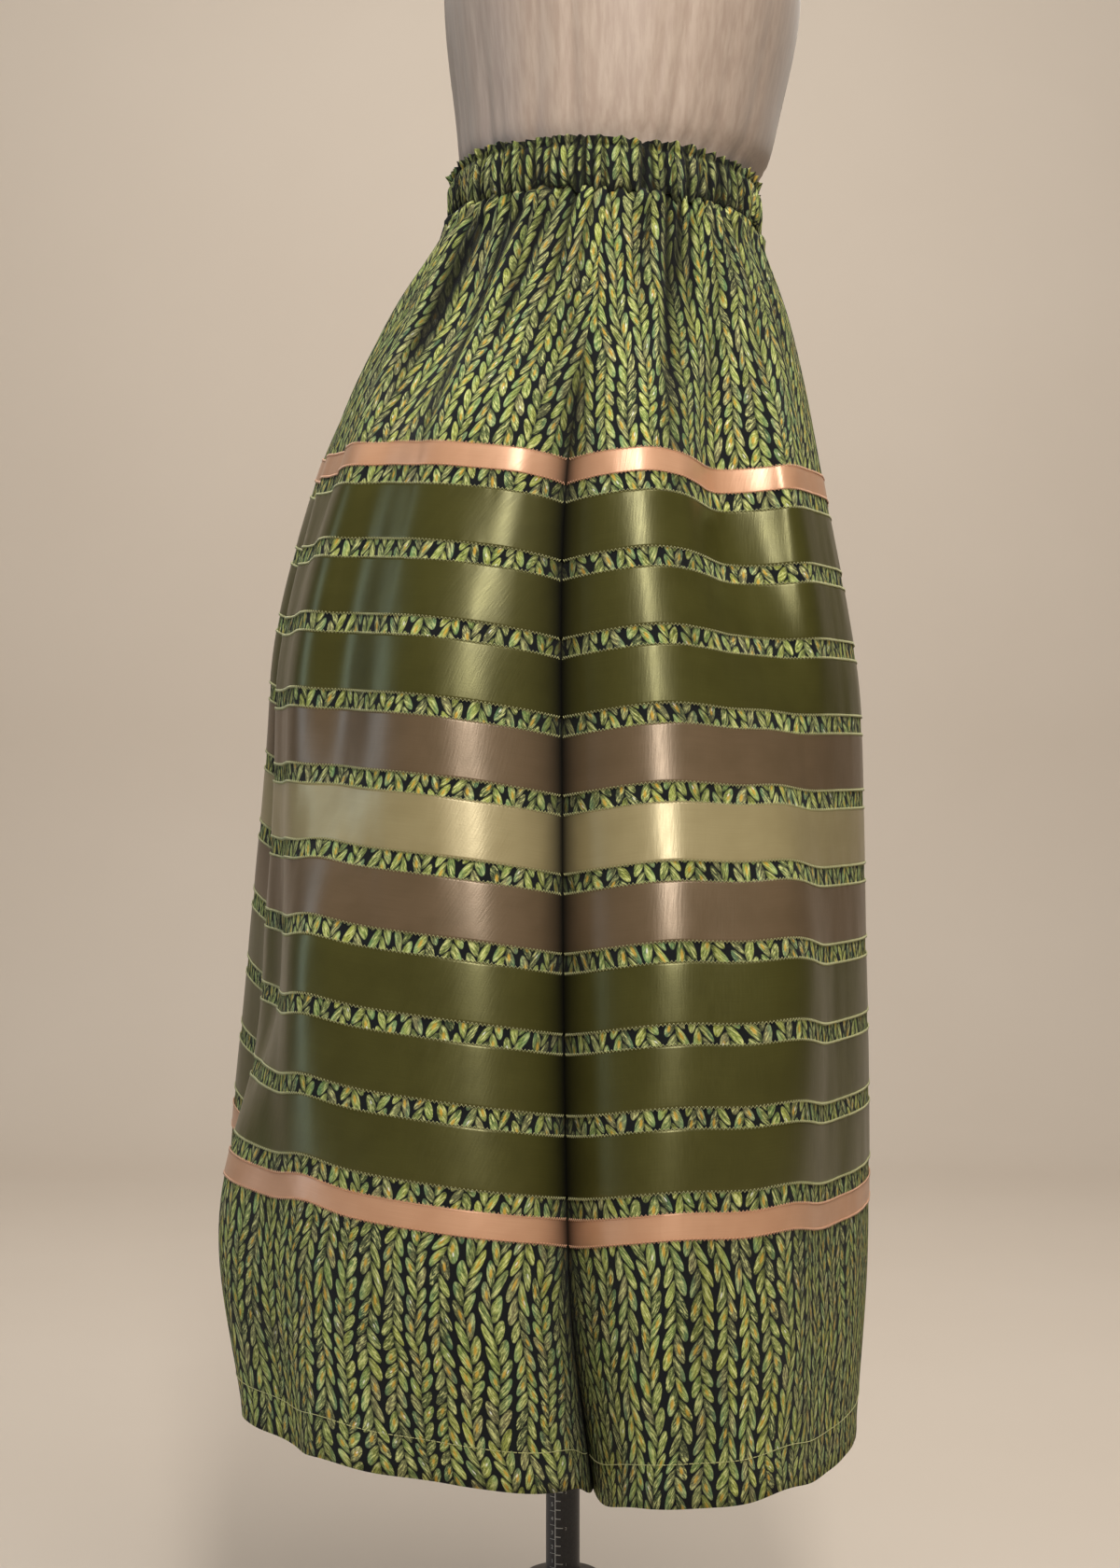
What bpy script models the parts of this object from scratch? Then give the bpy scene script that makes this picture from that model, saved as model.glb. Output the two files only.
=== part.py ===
"""A long gathered ribbon skirt on a limbless dress form with a pole stand.

Metres, +Z up. The origin is on the floor under the middle of the pole, the wearer's
front is +X and the wearer's right side is -Y. Bearings go round the Z axis in degrees:
0 is the front, -90 the right side seam, 90 the left side seam and 180 the back.
"""

import math
from collections import namedtuple

import bmesh
import bpy
from mathutils import Vector

# Cloth
PRINT_WALL = 0.0016
RIBBON_WALL = 0.0010
BAND_WALL = 0.0026
SEAM_GAP = 0.0003
RIBBON_LIFT = 0.0005
RIBBON_END = 0.0045  # from the side seam, where the two sides of the fold draw together

# Skirt, measured down the cloth from the waistband's lower edge
WAIST_HEIGHT = 1.0920
WAIST_TILT = 0.0050  # the back of the waist stands this much higher, the front lower
TILT_FADE = 0.100
SKIRT_LENGTH = 0.845
FIRST_RIBBON = 0.1945  # to the middle of the top ribbon
NARROW_RIBBON = 0.0160
WIDE_RIBBON = 0.0381
PRINT_BETWEEN = 0.0124
SQUARENESS = 2.09
COLUMNS_PER_QUARTER = 10
COLUMN_CROWDING = 1.35  # columns stand closer towards the side seams
YOKE_ROWS = (0.12, 0.30, 0.52, 0.76)  # shares of the way to the top ribbon
HEM_ROWS = (0.33, 0.67, 1.00)  # shares of the way from the lowest ribbon
MARCH_STEP = 0.010
LEAST_DROP = 0.30  # share of each step that always goes down

Section = namedtuple("Section", "down centre half_depth half_width")
SECTIONS = (
    Section(down=0.00, centre=0.030, half_depth=0.107, half_width=0.131),
    Section(down=0.08, centre=0.019, half_depth=0.144, half_width=0.145),
    Section(down=0.20, centre=0.003, half_depth=0.183, half_width=0.185),
    Section(down=0.36, centre=-0.006, half_depth=0.216, half_width=0.200),
    Section(down=0.54, centre=-0.007, half_depth=0.220, half_width=0.238),
    Section(down=0.70, centre=-0.010, half_depth=0.224, half_width=0.256),
    Section(down=0.86, centre=0.002, half_depth=0.202, half_width=0.265),
)

# How far each fold stands out of those sections, or in where it is negative, from the
# waist to the hem. A pointed fold is a crease, and any other is round.
Fold = namedtuple("Fold", "bearing spread pointed reach")
SEAM_VALLEY = Fold(-90, 7, True, (0, -0.001, -0.029, -0.035, -0.048, -0.052, -0.108))
FRONT_CREST = Fold(-70, 14, False, (0, -0.010, 0.002, 0.016, 0.021, 0.021, 0.024))
HIP_TROUGH = Fold(-52, 11, False, (0, -0.009, -0.028, 0.000, 0.025, 0.016, 0.012))
BACK_CREST = Fold(-110, 14, False, (0, -0.004, -0.005, 0.007, 0.001, 0.003, -0.012))
STEP_FOLD = Fold(-132, 9, False, (0, -0.019, -0.012, -0.014, 0.013, 0.003, 0.022))
RIGHT_LOBE = Fold(-158, 13, False, (0, -0.005, -0.013, -0.016, -0.024, 0.011, 0.030))
BACK_VALLEY = Fold(180, 12, False, (0, -0.001, -0.010, -0.033, -0.015, -0.028, -0.053))
LEFT_LOBE = Fold(156, 14, False, (0, 0.003, 0.010, 0.006, 0.019, 0.033, 0.055))
RIGHT_SIDE = (SEAM_VALLEY, FRONT_CREST, HIP_TROUGH, BACK_CREST, STEP_FOLD)

# The right side's seam swings forwards on its way down the cloth, at those same levels.
SEAM_SWING = (0, 0, -0.001, 0.005, 0.0072, 0.0135, 0.0190)
SWING_SPREAD = 15

# The left side has the same folds as the right one, a little turned and of another depth.
Mirrored = namedtuple("Mirrored", "fold turn share")
LEFT_SIDE = (
    Mirrored(SEAM_VALLEY, turn=0, share=0.92),
    Mirrored(FRONT_CREST, turn=2, share=1.10),
    Mirrored(HIP_TROUGH, turn=-3, share=0.85),
    Mirrored(BACK_CREST, turn=-2, share=0.90),
    Mirrored(STEP_FOLD, turn=4, share=0.75),
)

# Waistband: a casing over elastic, drawn in at its stitch line, with a ruffled header
BandRow = namedtuple("BandRow", "up out")
BAND_ROWS = (
    BandRow(up=0.0000, out=0.0004),
    BandRow(up=0.0045, out=0.0034),
    BandRow(up=0.0135, out=0.0044),
    BandRow(up=0.0225, out=0.0034),
    BandRow(up=0.0270, out=0.0012),
    BandRow(up=0.0330, out=0.0030),
)
BAND_COLUMNS = 48
GATHER_DEPTH = 0.0011
GATHER_WAVES = (21, 13)

# Dress form and stand
FormSection = namedtuple("FormSection", "height centre half_depth half_width")
FORM_SECTIONS = (
    FormSection(height=0.800, centre=0.006, half_depth=0.112, half_width=0.130),
    FormSection(height=0.812, centre=0.006, half_depth=0.124, half_width=0.140),
    FormSection(height=0.860, centre=0.007, half_depth=0.133, half_width=0.146),
    FormSection(height=0.910, centre=0.010, half_depth=0.132, half_width=0.144),
    FormSection(height=0.980, centre=0.016, half_depth=0.119, half_width=0.133),
    FormSection(height=1.050, centre=0.026, half_depth=0.102, half_width=0.123),
    FormSection(height=1.092, centre=0.031, half_depth=0.100, half_width=0.123),
    FormSection(height=1.120, centre=0.033, half_depth=0.100, half_width=0.125),
    FormSection(height=1.138, centre=0.036, half_depth=0.109, half_width=0.130),
    FormSection(height=1.160, centre=0.038, half_depth=0.113, half_width=0.134),
    FormSection(height=1.257, centre=0.042, half_depth=0.126, half_width=0.146),
    FormSection(height=1.330, centre=0.036, half_depth=0.123, half_width=0.152),
    FormSection(height=1.400, centre=0.022, half_depth=0.103, half_width=0.156),
    FormSection(height=1.450, centre=0.010, half_depth=0.082, half_width=0.150),
    FormSection(height=1.482, centre=0.004, half_depth=0.066, half_width=0.108),
    FormSection(height=1.505, centre=0.004, half_depth=0.057, half_width=0.070),
    FormSection(height=1.560, centre=0.010, half_depth=0.052, half_width=0.054),
)
FORM_SQUARENESS = 2.10
FORM_COLUMNS = 40
FORM_RING_SPACING = 0.025

POLE_RADIUS = 0.0120
HUB_TOP = 0.1400
HUB_RADIUS = 0.0280
HUB_FLARE = 0.0630  # the height where the hub begins to widen into its foot
FOOT_RADIUS = 0.0460
PLATE_RADIUS = 0.2000
PLATE_TOP = 0.0140
PLATE_ROUND = 0.0040
PLATE_STEP = 0.0020  # the foot stands this far above the plate
FLARE_POINTS = 6
CAP_RADIUS = 0.0480
CAP_HEIGHT = 0.0140
CAP_ROUND = 0.0030
TURNED_STEPS = 40
SHARP_ANGLE = 45  # degrees; a steeper edge isn't shaded smooth

# Colour, roughness and metallic value of each material
Finish = namedtuple("Finish", "colour roughness metallic")
FINISHES = {
    "leaf_print": Finish((0.090, 0.150, 0.040), 0.85, 0.0),
    "peach_satin": Finish((0.600, 0.300, 0.170), 0.40, 0.0),
    "olive_satin": Finish((0.100, 0.100, 0.020), 0.35, 0.0),
    "taupe_satin": Finish((0.170, 0.110, 0.065), 0.35, 0.0),
    "sand_satin": Finish((0.380, 0.310, 0.140), 0.38, 0.0),
    "champagne_cover": Finish((0.480, 0.340, 0.270), 0.45, 0.0),
    "charcoal_paint": Finish((0.022, 0.022, 0.024), 0.45, 0.0),
    "cap_plastic": Finish((0.030, 0.030, 0.032), 0.50, 0.0),
}

RIBBON_COLOURS = (
    "peach", "olive", "olive", "olive", "taupe", "sand",
    "taupe", "olive", "olive", "olive", "peach",
)


def fresh_scene():
    for obj in list(bpy.data.objects):
        bpy.data.objects.remove(obj, do_unlink=True)
    collection = bpy.data.collections.new("Ribbon skirt")
    bpy.context.scene.collection.children.link(collection)
    return collection


def make_materials():
    made = {}
    for name, finish in FINISHES.items():
        material = bpy.data.materials.new(name)
        material.use_nodes = True
        shader = material.node_tree.nodes["Principled BSDF"]
        shader.inputs["Base Color"].default_value = (*finish.colour, 1.0)
        shader.inputs["Roughness"].default_value = finish.roughness
        shader.inputs["Metallic"].default_value = finish.metallic
        made[name] = material
    return made


def smooth_between(levels, values, level):
    """A smooth curve through the values. It is level where they turn, so it never overshoots."""
    steps = [high - low for low, high in zip(levels, levels[1:])]
    rises = [(b - a) / step for a, b, step in zip(values, values[1:], steps)]
    slopes = [rises[0]]
    for before, after in zip(rises, rises[1:]):
        slopes.append(2 * before * after / (before + after) if before * after > 0 else 0.0)
    slopes.append(rises[-1])
    k = max(0, min(len(steps) - 1, sum(level >= start for start in levels) - 1))
    t = (level - levels[k]) / steps[k]
    return (
        (1 + 2 * t) * (1 - t) ** 2 * values[k]
        + t * (1 - t) ** 2 * steps[k] * slopes[k]
        + t * t * (3 - 2 * t) * values[k + 1]
        - t * t * (1 - t) * steps[k] * slopes[k + 1]
    )


def section_at(table, level):
    """The table's other columns, read smoothly at a level of its first one."""
    levels = [row[0] for row in table]
    return [smooth_between(levels, column, level) for column in list(zip(*table))[1:]]


def superellipse(half_depth, half_width, squareness, bearing):
    c, s = math.cos(math.radians(bearing)), math.sin(math.radians(bearing))
    out = (abs(c) ** squareness + abs(s) ** squareness) ** (-1 / squareness)
    return half_depth * out * c, half_width * out * s


def all_folds():
    left = []
    for fold, turn, share in LEFT_SIDE:
        reach = tuple(share * value for value in fold.reach)
        left.append(fold._replace(bearing=-fold.bearing + turn, reach=reach))
    return RIGHT_SIDE + tuple(left) + (RIGHT_LOBE, BACK_VALLEY, LEFT_LOBE)


def fold_share(fold, bearing):
    """How much of a fold's reach a bearing has, from 1 on the fold to 0 far from it."""
    away = ((bearing - fold.bearing + 180) % 360 - 180) / fold.spread
    return math.exp(-abs(away)) if fold.pointed else math.exp(-away * away)


def skirt_plan(folds, down, bearings):
    """The skirt's outline seen from above, at one distance down the cloth."""
    centre, half_depth, half_width = section_at(SECTIONS, down)
    levels = [section.down for section in SECTIONS]
    reaches = [smooth_between(levels, fold.reach, down) for fold in folds]
    swing = smooth_between(levels, SEAM_SWING, down)
    outline = []
    for bearing in bearings:
        x, y = superellipse(half_depth, half_width, SQUARENESS, bearing)
        reach = sum(r * fold_share(fold, bearing) for r, fold in zip(reaches, folds))
        grown = 1 + reach / math.hypot(x, y)
        away = ((bearing - SEAM_VALLEY.bearing + 180) % 360 - 180) / SWING_SPREAD
        outline.append((centre + x * grown + swing * math.exp(-away * away), y * grown))
    return outline


def skirt_rings(bearings, downs):
    """Points of the cloth's outer face, a ring for each distance down.

    Each column is followed down the cloth in short steps, and what a step doesn't spend
    going outwards it spends going down, so that every column keeps its real length.
    """
    folds = all_folds()
    waist = skirt_plan(folds, 0.0, bearings)
    tilts = [-WAIST_TILT * math.cos(math.radians(bearing)) for bearing in bearings]
    heights = [WAIST_HEIGHT] * len(bearings)
    rings = []
    plan, down = waist, 0.0
    for wanted in downs:
        count = max(1, math.ceil((wanted - down) / MARCH_STEP))
        step = (wanted - down) / count
        for _ in range(count):
            down += step
            following = skirt_plan(folds, down, bearings)
            for k, (here, there) in enumerate(zip(plan, following)):
                sideways = math.dist(here, there)
                heights[k] -= math.sqrt(max(step**2 - sideways**2, (LEAST_DROP * step) ** 2))
            plan = following
        fade = max(0.0, 1 - wanted / TILT_FADE)
        rings.append([Vector((x, y, z + tilt * fade)) for (x, y), z, tilt in zip(plan, heights, tilts)])
    return rings


def outward_normals(rings, closed):
    """One normal for each point, from its neighbours, for columns that go round with the bearing."""
    normals = []
    last = len(rings[0]) - 1
    for i, ring in enumerate(rings):
        above, below = rings[max(i - 1, 0)], rings[min(i + 1, len(rings) - 1)]
        row = []
        for j in range(last + 1):
            before = ring[j - 1] if closed or j else ring[0]
            after = ring[(j + 1) % (last + 1)] if closed or j < last else ring[last]
            row.append((above[j] - below[j]).cross(before - after).normalized())
        normals.append(row)
    return normals


def moved_out(rings, normals, distance):
    return [
        [point + distance * normal for point, normal in zip(ring, row)]
        for ring, row in zip(rings, normals)
    ]


def wall(name, outer, inner, material, collection, closed=False):
    """A closed solid between two grids of points, rows from the top down.

    Both faces of each cell are cut along the same diagonal, so a ribbon follows its panel.
    """
    mesh = bpy.data.meshes.new(name)
    shell = bmesh.new()
    layers = [[[shell.verts.new(point) for point in ring] for ring in grid] for grid in (outer, inner)]
    front, back = layers
    columns = len(outer[0])
    spans = range(columns if closed else columns - 1)
    for i in range(len(outer) - 1):
        for j in spans:
            k = (j + 1) % columns
            shell.faces.new((front[i][j], front[i + 1][j], front[i + 1][k], front[i][k]))
            shell.faces.new((back[i][j], back[i][k], back[i + 1][k], back[i + 1][j]))
        if not closed:
            shell.faces.new((front[i][0], back[i][0], back[i + 1][0], front[i + 1][0]))
            shell.faces.new((front[i + 1][-1], back[i + 1][-1], back[i][-1], front[i][-1]))
    for j in spans:
        k = (j + 1) % columns
        shell.faces.new((front[0][j], front[0][k], back[0][k], back[0][j]))
        shell.faces.new((front[-1][k], front[-1][j], back[-1][j], back[-1][k]))
    shell.to_mesh(mesh)
    shell.free()
    mesh.shade_smooth()
    mesh.set_sharp_from_angle(angle=math.radians(SHARP_ANGLE))
    return place(name, mesh, material, collection)


def place(name, mesh, material, collection):
    mesh.materials.append(material)
    obj = bpy.data.objects.new(name, mesh)
    collection.objects.link(obj)
    return obj


def panel_bearings(seam_before, seam_after):
    """Columns from one side seam round to the other, closer together near both."""
    quarter = [
        90 * (k / COLUMNS_PER_QUARTER) ** COLUMN_CROWDING for k in range(COLUMNS_PER_QUARTER)
    ]
    bearings = [seam_before + angle for angle in quarter]
    bearings.append((seam_before + seam_after) / 2)
    bearings += [seam_after - angle for angle in reversed(quarter)]
    half_gap = math.degrees(SEAM_GAP / 2 / SECTIONS[0].half_width)
    bearings[0] += half_gap
    bearings[-1] -= half_gap
    return bearings


def ribbon_bands():
    """(top, bottom) of each ribbon, down the cloth."""
    bands = []
    top = FIRST_RIBBON - NARROW_RIBBON / 2
    for colour in RIBBON_COLOURS:
        width = NARROW_RIBBON if colour == "peach" else WIDE_RIBBON
        bands.append((top, top + width))
        top += width + PRINT_BETWEEN
    return bands


def panel_rows():
    """Rows of a panel: a few in the plain print, and one at each ribbon's edges."""
    edges = [edge for band in ribbon_bands() for edge in band]
    rows = [SEAM_GAP] + [edges[0] * share for share in YOKE_ROWS] + edges
    plain = SKIRT_LENGTH - edges[-1]
    return rows + [edges[-1] + plain * share for share in HEM_ROWS]


def ribbon_grid(rings, normals, rows, band):
    """The panel's points and normals under one ribbon, ending short of the side seams."""
    points = [list(rings[rows.index(edge)]) for edge in band]
    directions = [list(normals[rows.index(edge)]) for edge in band]
    for ring, row in zip(points, directions):
        for end, inside in ((0, 1), (-1, -2)):
            t = RIBBON_END / (ring[inside] - ring[end]).length
            ring[end] = ring[end].lerp(ring[inside], t)
            row[end] = row[end].lerp(row[inside], t).normalized()
    return points, directions


def make_panel(side, seam_before, seam_after, materials, collection):
    """One panel of print with its ribbons."""
    rows = panel_rows()
    rings = skirt_rings(panel_bearings(seam_before, seam_after), rows)
    normals = outward_normals(rings, closed=False)
    inner = moved_out(rings, normals, -PRINT_WALL)
    wall(side + "_panel", rings, inner, materials["leaf_print"], collection)
    for k, (colour, band) in enumerate(zip(RIBBON_COLOURS, ribbon_bands()), start=1):
        points, directions = ribbon_grid(rings, normals, rows, band)
        under = moved_out(points, directions, RIBBON_LIFT)
        outer = moved_out(points, directions, RIBBON_LIFT + RIBBON_WALL)
        name = f"ribbon_{k:02d}_{colour}_{side}"
        wall(name, outer, under, materials[colour + "_satin"], collection)


def make_waistband(materials, collection):
    bearings = [360 * k / BAND_COLUMNS for k in range(BAND_COLUMNS)]
    waist = skirt_rings(bearings, [0.0])[0]
    centre = SECTIONS[0].centre
    outer, inner = [], []
    for row in reversed(BAND_ROWS):
        outer_ring, inner_ring = [], []
        for bearing, point in zip(bearings, waist):
            around = math.radians(bearing)
            gather = sum(math.sin(waves * around) for waves in GATHER_WAVES) * GATHER_DEPTH / 2
            outwards = Vector((point.x - centre, point.y, 0)).normalized()
            level = point + Vector((0, 0, row.up))
            outer_ring.append(level + outwards * (row.out + gather))
            inner_ring.append(level + outwards * (row.out - BAND_WALL))
        outer.append(outer_ring)
        inner.append(inner_ring)
    wall("waistband", outer, inner, materials["leaf_print"], collection, closed=True)


def make_form(materials, collection):
    """The torso, a loft of its sections that is closed flat at the hips and at the neck."""
    heights = [section.height for section in FORM_SECTIONS]
    levels = heights[:1]
    for low, high in zip(heights, heights[1:]):
        count = math.ceil((high - low) / FORM_RING_SPACING)
        levels += [low + (high - low) * k / count for k in range(1, count + 1)]
    body = bmesh.new()
    rings = []
    for level in levels:
        centre, half_depth, half_width = section_at(FORM_SECTIONS, level)
        ring = []
        for k in range(FORM_COLUMNS):
            x, y = superellipse(half_depth, half_width, FORM_SQUARENESS, 360 * k / FORM_COLUMNS)
            ring.append(body.verts.new((centre + x, y, level)))
        rings.append(ring)
    for low, high in zip(rings, rings[1:]):
        for k in range(FORM_COLUMNS):
            after = (k + 1) % FORM_COLUMNS
            body.faces.new((low[k], low[after], high[after], high[k]))
    body.faces.new(rings[0][::-1])
    body.faces.new(rings[-1])
    mesh = bpy.data.meshes.new("form_torso")
    body.to_mesh(mesh)
    body.free()
    mesh.shade_smooth()
    mesh.set_sharp_from_angle(angle=math.radians(SHARP_ANGLE))
    place("form_torso", mesh, materials["champagne_cover"], collection)


def turned(name, profile, material, collection):
    """A profile of (radius, height) points, from the axis at the top to the axis at the bottom."""
    mesh = bpy.data.meshes.new(name)
    edges = [(k, k + 1) for k in range(len(profile) - 1)]
    mesh.from_pydata([(radius, 0, height) for radius, height in profile], edges, [])
    obj = place(name, mesh, material, collection)
    screw = obj.modifiers.new("Turn", "SCREW")
    screw.steps = screw.render_steps = TURNED_STEPS
    screw.use_merge_vertices = True
    screw.merge_threshold = 0.0001
    screw.use_smooth_shade = True
    return obj


def rounded_rim(radius, height, fillet, points=4):
    """The rounded corner from a flat top out to an upright side."""
    corner = []
    for k in range(points + 1):
        turn = math.pi / 2 * k / points
        out, down = fillet * math.sin(turn), fillet * (1 - math.cos(turn))
        corner.append((radius - fillet + out, height - down))
    return corner


def make_stand(materials, collection):
    hips = FORM_SECTIONS[0].height
    length = hips - HUB_TOP - 2 * SEAM_GAP
    bpy.ops.mesh.primitive_cylinder_add(
        vertices=TURNED_STEPS, radius=POLE_RADIUS, depth=length, location=(0, 0, (hips + HUB_TOP) / 2)
    )
    pole = bpy.context.object
    pole.name = pole.data.name = "pole"
    pole.data.materials.append(materials["charcoal_paint"])
    pole.data.shade_smooth()
    pole.data.set_sharp_from_angle(angle=math.radians(SHARP_ANGLE))
    for holder in pole.users_collection:
        holder.objects.unlink(pole)
    collection.objects.link(pole)

    profile = [(0, HUB_TOP)] + rounded_rim(HUB_RADIUS, HUB_TOP, PLATE_ROUND)
    for k in range(FLARE_POINTS + 1):
        turn = math.pi / 2 * k / FLARE_POINTS
        radius = FOOT_RADIUS - (FOOT_RADIUS - HUB_RADIUS) * math.cos(turn)
        profile.append((radius, HUB_FLARE - (HUB_FLARE - PLATE_TOP) * math.sin(turn)))
    profile += rounded_rim(PLATE_RADIUS, PLATE_TOP - PLATE_STEP, PLATE_ROUND)
    profile += [(PLATE_RADIUS, 0), (0, 0)]
    turned("stand_base", profile, materials["charcoal_paint"], collection)


def make_neck_cap(materials, collection):
    neck = FORM_SECTIONS[-1]
    foot = neck.height + SEAM_GAP
    profile = [(0, foot + CAP_HEIGHT)] + rounded_rim(CAP_RADIUS, foot + CAP_HEIGHT, CAP_ROUND)
    profile += [(CAP_RADIUS, foot), (0, foot)]
    cap = turned("neck_cap", profile, materials["cap_plastic"], collection)
    cap.location.x = neck.centre


def main():
    collection = fresh_scene()
    materials = make_materials()
    make_panel("front", -90, 90, materials, collection)
    make_panel("back", 90, 270, materials, collection)
    make_waistband(materials, collection)
    make_form(materials, collection)
    make_neck_cap(materials, collection)
    make_stand(materials, collection)


main()
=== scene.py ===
import math

import bpy
import numpy as np
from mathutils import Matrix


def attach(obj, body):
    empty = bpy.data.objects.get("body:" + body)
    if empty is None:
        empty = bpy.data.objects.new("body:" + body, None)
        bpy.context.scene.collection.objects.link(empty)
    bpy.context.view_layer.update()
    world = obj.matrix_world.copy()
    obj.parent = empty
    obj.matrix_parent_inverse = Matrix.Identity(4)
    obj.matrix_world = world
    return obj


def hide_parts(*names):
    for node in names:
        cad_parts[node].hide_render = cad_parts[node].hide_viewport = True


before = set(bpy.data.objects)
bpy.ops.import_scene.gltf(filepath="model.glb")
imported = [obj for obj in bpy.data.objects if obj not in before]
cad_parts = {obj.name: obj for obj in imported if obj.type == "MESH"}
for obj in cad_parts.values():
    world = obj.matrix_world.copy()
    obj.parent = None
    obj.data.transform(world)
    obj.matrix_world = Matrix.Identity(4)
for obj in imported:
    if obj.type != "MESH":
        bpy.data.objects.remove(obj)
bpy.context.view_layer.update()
scene = bpy.context.scene

# Metres, +Z up. Bearings go round Z: 0 is the front, -90 the right side seam, 90 the left one.

skirt = {
    "waistHeight": 1.0920,
    "waistTilt": 0.0050,
    "tiltFade": 0.100,
    "length": 0.845,
    "squareness": 2.09,
    "marchStep": 0.010,
    "leastDrop": 0.30,
    "seamGap": 0.0003,
    "columns": 380,
    "crowding": 1.22,
    "cloth": 0.0008,
    "flatWaist": 0.508,  # the panel's cut is an A-line, this wide at the waist and the hem
    "flatHem": 0.910,
}

skirtSections = np.array((  # down, centre, half depth, half width
    (0.00, 0.030, 0.107, 0.131),
    (0.08, 0.019, 0.144, 0.145),
    (0.20, 0.003, 0.183, 0.185),
    (0.36, -0.006, 0.216, 0.200),
    (0.54, -0.007, 0.220, 0.238),
    (0.70, -0.010, 0.224, 0.256),
    (0.86, 0.002, 0.202, 0.265),
))

sideFolds = (  # bearing, spread, pointed, reach out of the sections at those levels
    (-90, 7, True, (0, -0.001, -0.029, -0.035, -0.048, -0.052, -0.108)),
    (-70, 14, False, (0, -0.010, 0.002, 0.016, 0.021, 0.021, 0.024)),
    (-52, 11, False, (0, -0.009, -0.028, 0.000, 0.025, 0.016, 0.012)),
    (-110, 14, False, (0, -0.004, -0.005, 0.007, 0.001, 0.003, -0.012)),
    (-132, 9, False, (0, -0.019, -0.012, -0.014, 0.013, 0.003, 0.022)),
)
seamSwing = {"spread": 15, "forwards": (0, 0, -0.001, 0.005, 0.0072, 0.0135, 0.0190)}  # of the right one
leftTurns = ((0, 0.92), (2, 1.10), (-3, 0.85), (-2, 0.90), (4, 0.75))  # turn, share of the right one
backFolds = (
    (-158, 13, False, (0, -0.005, -0.013, -0.016, -0.024, 0.011, 0.030)),
    (180, 12, False, (0, -0.001, -0.010, -0.033, -0.015, -0.028, -0.053)),
    (156, 14, False, (0, 0.003, 0.010, 0.006, 0.019, 0.033, 0.055)),
)

ribbon = {
    "first": 0.1945,
    "narrow": 0.0160,
    "wide": 0.0381,
    "between": 0.0124,
    "cloth": 0.00025,
    "lift": 0.00030,  # its underside off the panel at the edges
    "puff": 0.00012,  # more in the middle
    "spots": (0.0, 0.05, 0.2, 0.5, 0.8, 0.95, 1.0),  # rows across its width
    "panelSpots": (0, 3, 6),  # of those, the rows that the panel has too
}
ribbonColours = (
    "peach", "olive", "olive", "olive", "taupe", "sand",
    "taupe", "olive", "olive", "olive", "peach",
)


def limited(value):
    return np.clip(value, 0, 1)


def smoothBetween(levels, values, level):
    # level where the values turn, so it never overshoots
    steps = np.diff(levels)
    rises = np.diff(values) / steps
    slopes = [rises[0]]
    for before, after in zip(rises, rises[1:]):
        slopes.append(2 * before * after / (before + after) if before * after > 0 else 0.0)
    slopes.append(rises[-1])
    k = int(np.clip(np.searchsorted(levels, level, side="right") - 1, 0, len(steps) - 1))
    t = (level - levels[k]) / steps[k]
    return (
        (1 + 2 * t) * (1 - t) ** 2 * values[k]
        + t * (1 - t) ** 2 * steps[k] * slopes[k]
        + t * t * (3 - 2 * t) * values[k + 1]
        - t * t * (1 - t) * steps[k] * slopes[k + 1]
    )


def placesAlong(lengths):
    # where each point of a closed line stands along it
    return np.concatenate([[0], np.cumsum(lengths)[:-1]])


def superellipse(halfDepth, halfWidth, squareness, bearings):
    c, s = np.cos(np.radians(bearings)), np.sin(np.radians(bearings))
    out = (abs(c) ** squareness + abs(s) ** squareness) ** (-1 / squareness)
    return halfDepth * out * c, halfWidth * out * s


def degreesFrom(bearings, bearing):
    # from -180 to 180
    return (bearings - bearing + 180) % 360 - 180


def allFolds():
    left = [
        (-bearing + turn, spread, pointed, tuple(share * r for r in reach))
        for (bearing, spread, pointed, reach), (turn, share) in zip(sideFolds, leftTurns)
    ]
    return sideFolds + tuple(left) + backFolds


def skirtPlan(down, bearings):
    # the cloth's outline seen from above, at one distance down it
    levels = skirtSections[:, 0]
    centre, halfDepth, halfWidth = (smoothBetween(levels, column, down) for column in skirtSections.T[1:])
    x, y = superellipse(halfDepth, halfWidth, skirt["squareness"], bearings)
    reach = np.zeros(len(bearings))
    for bearing, spread, pointed, reaches in allFolds():
        away = degreesFrom(bearings, bearing) / spread
        share = np.exp(-abs(away)) if pointed else np.exp(-away * away)
        reach += smoothBetween(levels, np.array(reaches), down) * share
    grown = 1 + reach / np.hypot(x, y)
    away = degreesFrom(bearings, sideFolds[0][0]) / seamSwing["spread"]
    swing = smoothBetween(levels, np.array(seamSwing["forwards"]), down) * np.exp(-away * away)
    return np.stack([centre + x * grown + swing, y * grown], axis=1)


def skirtGrid(bearings, downs):
    # what a step down the cloth doesn't spend going outwards it spends going down
    tilt = -skirt["waistTilt"] * np.cos(np.radians(bearings))
    heights = np.full(len(bearings), skirt["waistHeight"])
    plan, down, rings = skirtPlan(0.0, bearings), 0.0, []
    for wanted in downs:
        count = max(1, math.ceil((wanted - down) / skirt["marchStep"]))
        step = (wanted - down) / count
        for _ in range(count):
            down += step
            following = skirtPlan(down, bearings)
            sideways = np.hypot(*(following - plan).T)
            heights = heights - np.sqrt(np.maximum(step**2 - sideways**2, (skirt["leastDrop"] * step) ** 2))
            plan = following
        fade = max(0.0, 1 - wanted / skirt["tiltFade"])
        rings.append(np.column_stack([plan, heights + tilt * fade]))
    return np.array(rings)


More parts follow.
